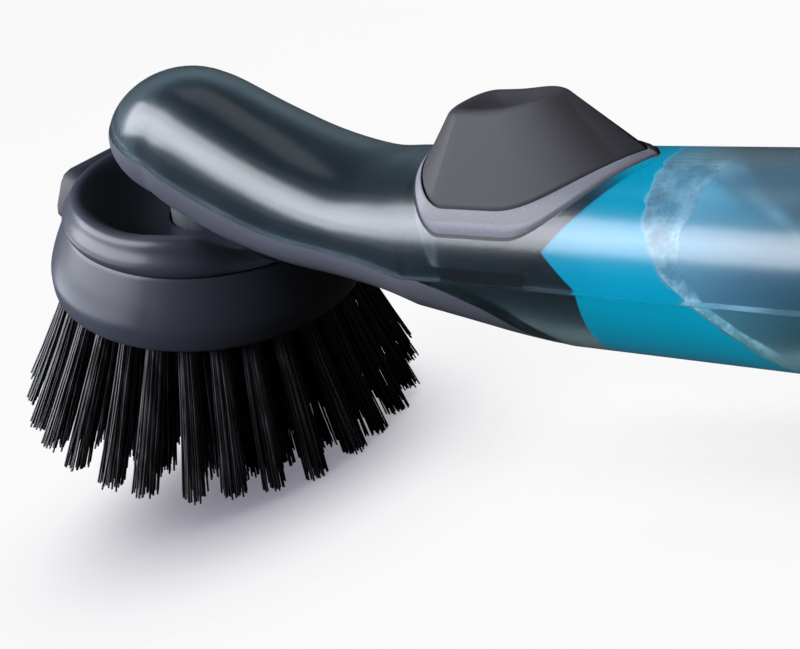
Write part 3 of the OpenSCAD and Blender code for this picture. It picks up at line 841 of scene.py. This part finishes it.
def makeFoam():
    # bubbles along the liquid's edge on the wall, with a film of froth behind them that widens to the top
    bm = bmesh.new()
    bubbles = []
    for _ in range(soap["bubbles"]):
        turn = random.uniform(0, math.tau)
        high = max(math.sin(turn), 0)
        size = random.uniform(0.14, 0.3) + 0.3 * random.random() ** 4
        reach = soap["bubbleReach"] - size * 0.6
        z = reach * math.sin(turn)
        band = 0.5 + 2.5 * high ** 1.5
        place = Vector((foamPlace(z) + 0.15 + random.random() ** 2 * band, reach * math.cos(turn), z))
        bubbles.append((place, size))
    addBubbles(bm, bubbles)
    makeObject("soapFoamEdge", bm, tubeFrame, soapFoam, "root", [], sharp=180)
    sides = 144
    rings = []
    outside = soap["filmRadius"]
    inside = outside - soap["filmThick"]
    for radius, far in ((outside, 0), (outside, 1), (inside, 1), (inside, 0)):
        ring = []
        for i in range(sides):
            turn = math.tau * i / sides
            y, z = radius * math.cos(turn), radius * math.sin(turn)
            high = max(math.sin(turn), 0)
            width = 2.6 + 6.5 * high ** 1.6 + 0.3 * math.sin(9 * turn) + 0.2 * math.sin(17 * turn + 1)
            ring.append((foamPlace(z) + 0.25 + width * far, y, z))
        rings.append(ring)
    bm = bmesh.new()
    loft(bm, rings, wrap=True)
    makeObject("soapFroth", bm, tubeFrame, soapFroth, "root", [], sharp=60)


makeSoap()
makeFoam()
print("soap made")


head = {
    "radius": 30.8,
    "seam": 13.5,
    "rim": 19.4,
    "spigot": 25.2,
    "dishFloor": 11.6,
    "shoulderTurn": 58,
    "blockTop": 8.3,
    "floorHole": 6.95,
    "saddleRadius": 15,
    "saddleHeight": 26.6,
    "saddleRun": (8, 48),
    "steps": 144,
}


def rimAt(turn):
    # lower in front, swelling up beside the neck and let down where the neck leaves
    rear = max(math.cos(turn), 0)
    front = max(-math.cos(turn), 0)
    beside = abs(math.degrees(math.atan2(math.sin(turn), math.cos(turn)))) - head["shoulderTurn"]
    return (head["rim"] - 1.3 * front ** 2 + 1.1 * math.exp(-(beside / 20) ** 2)
            - (head["rim"] - head["seam"] - 1.4) * smoothStep((rear - 0.66) / 0.3))


def capSection(turn):
    r, seam, low = head["radius"], head["seam"], head["dishFloor"]
    top = rimAt(turn)
    side = top - seam
    deep = top - low
    return [(head["spigot"], seam + 0.12), (r - 4.15, seam + 0.12), (r - 3.85, seam + 0.35),
            (r - 3.72, seam + 0.2 * side), (r - 4.1, seam + 0.38 * side), (r - 4.75, seam + 0.54 * side),
            (r - 5.2, seam + 0.68 * side), (r - 5.55, seam + 0.82 * side), (r - 6.2, seam + 0.94 * side),
            (r - 7.3, top), (r - 8.7, top - 0.08 * deep), (r - 10.2, top - 0.24 * deep),
            (r - 12.2, low + 0.5 * deep), (16.2, low + 0.27 * deep), (13.6, low + 0.1 * deep),
            (11.5, low + 0.03 * deep)]


def makeHeadCap():
    rings = []
    low = head["blockTop"]
    hole = head["floorHole"]
    inside = [(hole, head["dishFloor"]), (hole, 11.3), (9.2, 11.3), (9.2, low), (head["spigot"], low)]
    for k in range(head["steps"]):
        turn = math.tau * k / head["steps"]
        section = capSection(turn)
        ring = section[:1] + smoothList(section[1:], 2) + inside
        rings.append([(r * math.cos(turn), r * math.sin(turn), z) for r, z in ring])
    bm = bmesh.new()
    loft(bm, rings, wrap=True)
    cap = makeObject("headCap", bm, headFrame, headGrey, "head", [])
    # the boss that the nozzle plugs into, under the hole in the floor of the dish
    bm = bmesh.new()
    bossProfile = [(6.75, 6.2), (6.75, 11), (6.95, 11.2), (8.5, 11.2), (8.8, 10.9), (8.8, 8.4), (10, 8.2),
                   (10, 4.9), (4.2, 4.9), (4.2, 6.2), (6.75, 6.2)]
    spinProfile(bm, bossProfile, 96)
    makeObject("capBoss", bm, headFrame, headGrey, "head", ["head_cap"])
    cutWith(cap, neckSaddle(), solver="MANIFOLD")


def neckSaddle():
    # the neck lies in a saddle across the rear of the head
    bm = bmesh.new()
    rings = [[(x, y, head["saddleHeight"] + z) for y, z in circle(head["saddleRadius"], 96)]
             for x in head["saddleRun"]]
    loft(bm, rings, capStart=True, capEnd=True)
    return cutterObject(bm, headFrame)


def makeHeadRing():
    r, seam = head["radius"], head["seam"]
    outside = smoothList([(r - 0.55, 0), (r, 0.55), (r + 0.12, 2.6), (r - 0.1, 4.6), (r - 1.15, 7.6),
                          (r - 2.6, 10.8), (r - 3.75, seam - 0.25)], 4)
    inside = [(r - 3.95, seam), (25.25, seam), (25.25, 4.9), (28.35, 4.9), (28.35, 0.3)]
    profile = [(28.35, 0.3), (28.7, 0.0)] + outside + inside
    bm = bmesh.new()
    spinProfile(bm, profile, head["steps"])
    ring = makeObject("headRing", bm, headFrame, headGrey, "head", ["head_ring"])
    cutWith(ring, neckSaddle())


makeHeadCap()
makeHeadRing()
print("head made")


bristles = {
    "blockLow": 0.6,
    "length": 28.9,
    # Row: tufts, radius at the block, radius of the tips, half width of a tuft's tips
    "rows": {"bristlesOuter": [(29, 26, 38.6, 2.6)],
             "bristlesInner": [(23, 20.8, 31, 3.5), (17, 15, 22, 3.3), (10, 8.8, 12.5, 3)]},
    "perTuft": 42,
    "rootSpread": 1.5,
    "filament": 0.24,
    "twist": 0.8,
    "reach": 0.5,
    "scatter": 0.35,
    "ragged": 0.55,
}
bristleNodes = {"bristlesOuter": "bristles_outer", "bristlesInner": "bristles_inner"}


def either(amount):
    return random.uniform(-amount, amount)


def filamentRings(root, tip, bow, thick):
    # a bristle of four sides in three lengths, bowed a little
    rings = []
    for u in (0, 0.4, 0.75, 1):
        place = root.lerp(tip, u) + bow * 4 * u * (1 - u)
        size = thick * (1 - 0.12 * u)
        turns = [0.4 + math.pi / 2 * corner for corner in range(4)]
        rings.append([place + Vector((size * math.cos(a), size * math.sin(a), 0)) for a in turns])
    return rings


def growFilaments(bm, bundles):
    # all the bristles of a row grow together from their square roots
    faces = [bm.faces.new([bm.verts.new(p) for p in rings[0]]) for rings in bundles]
    edges = [e for f in faces for e in f.edges]
    verts = [list(f.verts) for f in faces]
    for step in range(1, 4):
        made = bmesh.ops.extrude_edge_only(bm, edges=edges)["geom"]
        fresh = {g for g in made if isinstance(g, bmesh.types.BMVert)}
        verts = [[above(v, fresh) for v in four] for four in verts]
        for four, rings in zip(verts, bundles):
            for vert, place in zip(four, rings[step]):
                vert.co = place
        edges = [g for g in made if isinstance(g, bmesh.types.BMEdge) and set(g.verts) <= fresh]
    bmesh.ops.edgeloop_fill(bm, edges=edges)
    bmesh.ops.recalc_face_normals(bm, faces=bm.faces[:])


def makeBristles(name):
    bundles = []
    low = bristles["blockLow"]
    for tufts, rootRadius, tipRadius, fanWidth in bristles["rows"][name]:
        for k in range(tufts):
            around = math.tau * (k + 0.5) / tufts
            out = Vector((math.cos(around), math.sin(around), 0))
            side = Vector((-math.sin(around), math.cos(around), 0))
            twist = either(bristles["twist"])
            reach = either(bristles["reach"])
            for i in range(bristles["perTuft"]):
                share = math.sqrt((i + 0.5) / bristles["perTuft"])
                fan = i * math.pi * (3 - math.sqrt(5)) + k
                a, b = share * math.cos(fan), share * math.sin(fan)
                root = out * (rootRadius + bristles["rootSpread"] * a) + side * bristles["rootSpread"] * b
                root.z = low + 0.4
                outward = tipRadius + fanWidth * a + either(bristles["scatter"])
                tip = out * outward + side * (fanWidth * 0.95 * b + twist + either(bristles["scatter"]))
                ragged = either(bristles["ragged"]) + reach
                tip.z = -bristles["length"] + 0.9 + ragged + 0.008 * max(outward - 30, 0) ** 2
                bow = out * random.uniform(-0.5, 0.2) + side * either(0.25)
                bundles.append(filamentRings(root, tip, bow, bristles["filament"]))
    bm = bmesh.new()
    growFilaments(bm, bundles)
    piece = makeObject(name, bm, headFrame, nylon, "head", [bristleNodes[name]], sharp=60,
                       recalc=False)
    # the counter stops the rearmost tips
    for vert in piece.data.vertices:
        vert.co.z = max(vert.co.z, 0.0001)


for name in bristles["rows"]:
    makeBristles(name)
print("bristles made")


def dressNode(nodeName, name, material, body, width):
    # a merged copy of a CAD node with its sharp edges eased
    bm = bmesh.new()
    fromAngle = math.radians(35)
    bm.from_mesh(frame["nodes"][nodeName].data)
    bmesh.ops.remove_doubles(bm, verts=bm.verts[:], dist=2e-6)
    bmesh.ops.dissolve_limit(bm, angle_limit=math.radians(1.5), verts=bm.verts[:], edges=bm.edges[:])
    sharp = [e for e in bm.edges if len(e.link_faces) == 2 and e.calc_face_angle(0) > fromAngle]
    bmesh.ops.bevel(bm, geom=sharp, offset=width * mm, segments=2, affect="EDGES", profile=0.5, material=-1,
                    clamp_overlap=True)
    bmesh.ops.remove_doubles(bm, verts=bm.verts[:], dist=2e-6)
    return makeObject(name, bm, Matrix.Identity(4), material, body, [nodeName], recalc=False)


dressNode("end_cap", "endCap", coverGrey, "cap", 0.3)
dressNode("scraper", "scraperBlade", scraperGrey, "head", 1.1)
print("end cap and scraper made")


view = {
    # place and directions of the camera in the head's frame
    "place": Vector((178.9, -160.9, 148.5)),
    "right": Vector((0.7884, 0.6145, -0.0297)),
    "forward": Vector((-0.5182, 0.6373, -0.5705)),
    "lens": 63,
    "sensor": 36,
}


def makeCamera():
    camera = bpy.data.objects.new("camera", bpy.data.cameras.new("camera"))
    bpy.context.scene.collection.objects.link(camera)
    camera.data.lens = view["lens"]
    camera.data.sensor_width = view["sensor"]
    camera.data.clip_start = 10 * mm
    turn = headTurn.to_3x3()
    back = -(turn @ view["forward"]).normalized()
    right = turn @ view["right"]
    up = back.cross(right).normalized()
    right = up.cross(back).normalized()
    rows = Matrix((right, up, back)).transposed().to_4x4()
    camera.matrix_world = Matrix.Translation(headFrame @ view["place"]) @ rows
    bpy.context.scene.camera = camera


studio = {
    "paper": (0.945, 0.945, 0.95),
    # painted shadow: the head's shadow on the floor is a colour ramp round a point near the bristle tips
    "shadowReach": 0.075,
    "shadowShift": (0.015, -0.012),  # the head's shadow falls a little towards the viewer
    "shadow": [(0.14, (0.3, 0.29, 0.35)), (0.3, (0.42, 0.41, 0.47)), (0.48, (0.73, 0.72, 0.75)),
               (0.66, (0.91, 0.905, 0.92))],
    "contactReach": 0.05,
    # How bright the floor and the sky are in reflections, and through the clear handle
    "floor": (0.03, 0.36),
    "sky": (0.04, 0.32),
    "lightColor": (0.93, 0.96, 1.04),
    "keyPanels": 5,
    # Light: place, target, width, height, power
    "key": ((-0.54, -0.68, 0.68), (-0.02, 0, 0.05), 1.5, 0.6, 19),
    "side": ((-0.66, -0.5, 0.14), (-0.06, 0, 0.05), 1.25, 0.16, 1.9),
    "top": ((-0.1, 0.1, 1.1), (0, 0, 0.04), 0.6, 0.35, 0.7),
    "sideLit": ("headCap", "headRing", "capBoss", "scraperBlade", "bristlesOuter", "bristlesInner"),
}


def rayLevel(tree, dim, through):
    # full to the camera, less through the clear handle, and dim in reflections, which keeps the head dark
    path = node(tree, "ShaderNodeLightPath").outputs
    level = spread(tree, path["Is Transmission Ray"], dim, through)
    return maths(tree, "MAXIMUM", path["Is Camera Ray"], level)


def floorMaterial():
    # white paper with a painted soft shadow of the head and a painted darker line where the wand touches it
    material, tree, shader = newMaterial("floorPaper", (0.9, 0.9, 0.9))
    # painted shade: ambient occlusion darkens the floor's glow near the wand
    contact = node(tree, "ShaderNodeAmbientOcclusion", {"Distance": studio["contactReach"]}, samples=8)
    close = spread(tree, contact.outputs["AO"], 0.62, 1, 0.25, 0.6)
    # painted shadow: a soft dark patch round a point a little off the bristle tips
    tips = headFrame @ Vector((0, 0, -bristles["length"]))
    shiftX, shiftY = studio["shadowShift"]
    middle = (tips.x + shiftX, tips.y + shiftY, 0)
    away = node(tree, "ShaderNodeVectorMath", {0: objectPlace(tree), 1: middle}, operation="DISTANCE")
    near = spread(tree, away.outputs["Value"], 0, 1, 0, studio["shadowReach"])
    shade = colorRamp(tree, near, studio["shadow"] + [(1, studio["paper"])], "B_SPLINE")
    feed(tree, shader, {
        "Base Color": (0.012, 0.012, 0.012, 1),
        "Emission Color": scaled(tree, shade, close),
        "Emission Strength": rayLevel(tree, *studio["floor"]),
        "Roughness": 1,
        "Specular IOR Level": 0,
    })
    return material


def makeFloor():
    bm = bmesh.new()
    bmesh.ops.create_grid(bm, x_segments=1, y_segments=1, size=60)
    mesh = bpy.data.meshes.new("floor")
    bm.to_mesh(mesh)
    bm.free()
    mesh.materials.append(floorMaterial())
    floor = bpy.data.objects.new("floor", mesh)
    bpy.context.scene.collection.objects.link(floor)


def makeWorld():
    world = bpy.data.worlds.new("studio")
    bpy.context.scene.world = world
    world.use_nodes = True
    tree = world.node_tree
    feed(tree, tree.nodes["Background"], {
        "Color": (*studio["paper"], 1),
        "Strength": rayLevel(tree, *studio["sky"]),
    })


def softLight(name, place, target, width, height, power):
    data = bpy.data.lights.new(name, "AREA")
    data.shape = "RECTANGLE"
    data.size = width
    data.size_y = height
    data.energy = power
    data.color = studio["lightColor"]
    light = bpy.data.objects.new(name, data)
    light.location = place
    light.rotation_euler = (Vector(target) - Vector(place)).to_track_quat("-Z", "Y").to_euler()
    light.visible_camera = False
    light.visible_transmission = False
    bpy.context.scene.collection.objects.link(light)
    return light


def makeLights():
    # the soft box fades towards its edges, so it is panels of falling size, one within the other
    place, target, width, height, power = studio["key"]
    for step in range(studio["keyPanels"]):
        share = 1 - 0.17 * step
        softLight("keyLight", place, target, width - 0.14 * step, height * share, power * share)
    # only the head takes the low light, which would put a second stripe on the handle
    sideLight = softLight("sideLight", *studio["side"])
    lit = bpy.data.collections.new("headPieces")
    for name in studio["sideLit"]:
        lit.objects.link(bpy.data.objects[name])
    sideLight.light_linking.receiver_collection = lit
    softLight("topLight", *studio["top"])


makeCamera()
makeFloor()
makeWorld()
makeLights()
bpy.context.scene.view_settings.view_transform = "Standard"
print("studio ready")
